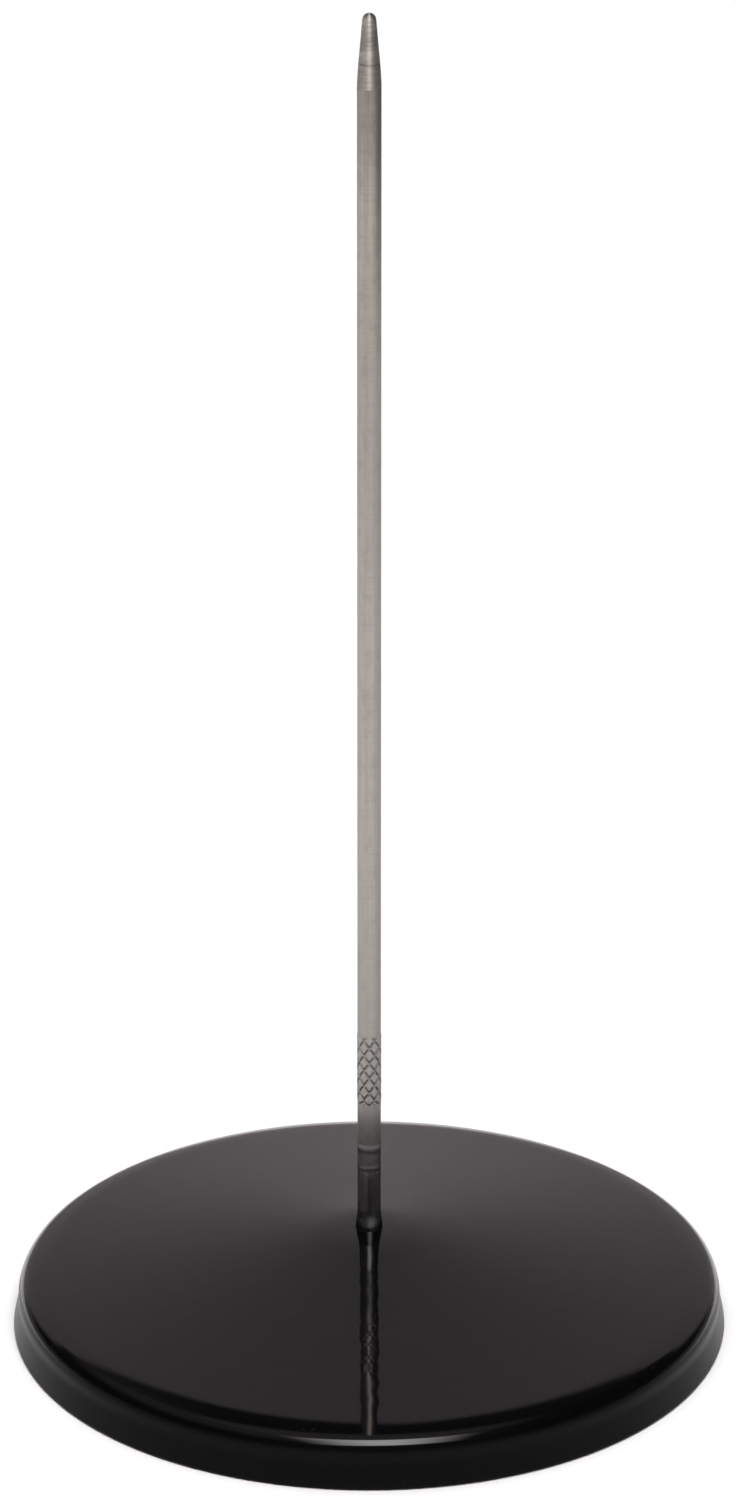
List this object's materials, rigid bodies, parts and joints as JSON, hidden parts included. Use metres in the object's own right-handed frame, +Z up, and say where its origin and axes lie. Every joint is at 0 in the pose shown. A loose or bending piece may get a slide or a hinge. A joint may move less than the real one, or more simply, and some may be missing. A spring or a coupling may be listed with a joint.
{
  "type": "bill spike",
  "caption": "Bill spike: a slim pointed steel spike with a diamond-knurled band, riveted through the hub of a low round gloss black cast-iron base.",
  "frame": {"origin": "centre of the foot on the desk, under the spike", "axes": "+Z up along the spike, X and Y level, and the picture looks along +Y with +X to the right"},
  "size_m": [0.0858, 0.0858, 0.165],
  "materials": {
    "enamel": "gloss black enamel over cast iron, slightly wavy, thinner and duller in the hollow underneath",
    "spike_steel": "satin drawn steel with fine lines along the rod, ground rings on the point and two faint rings low on the rod",
    "washer_steel": "plain stamped steel, dull"
  },
  "bodies": {
    "root": {"base_casting": "enamel", "spike": "spike_steel", "rivet_washer": "washer_steel"}
  },
  "joints": []
}
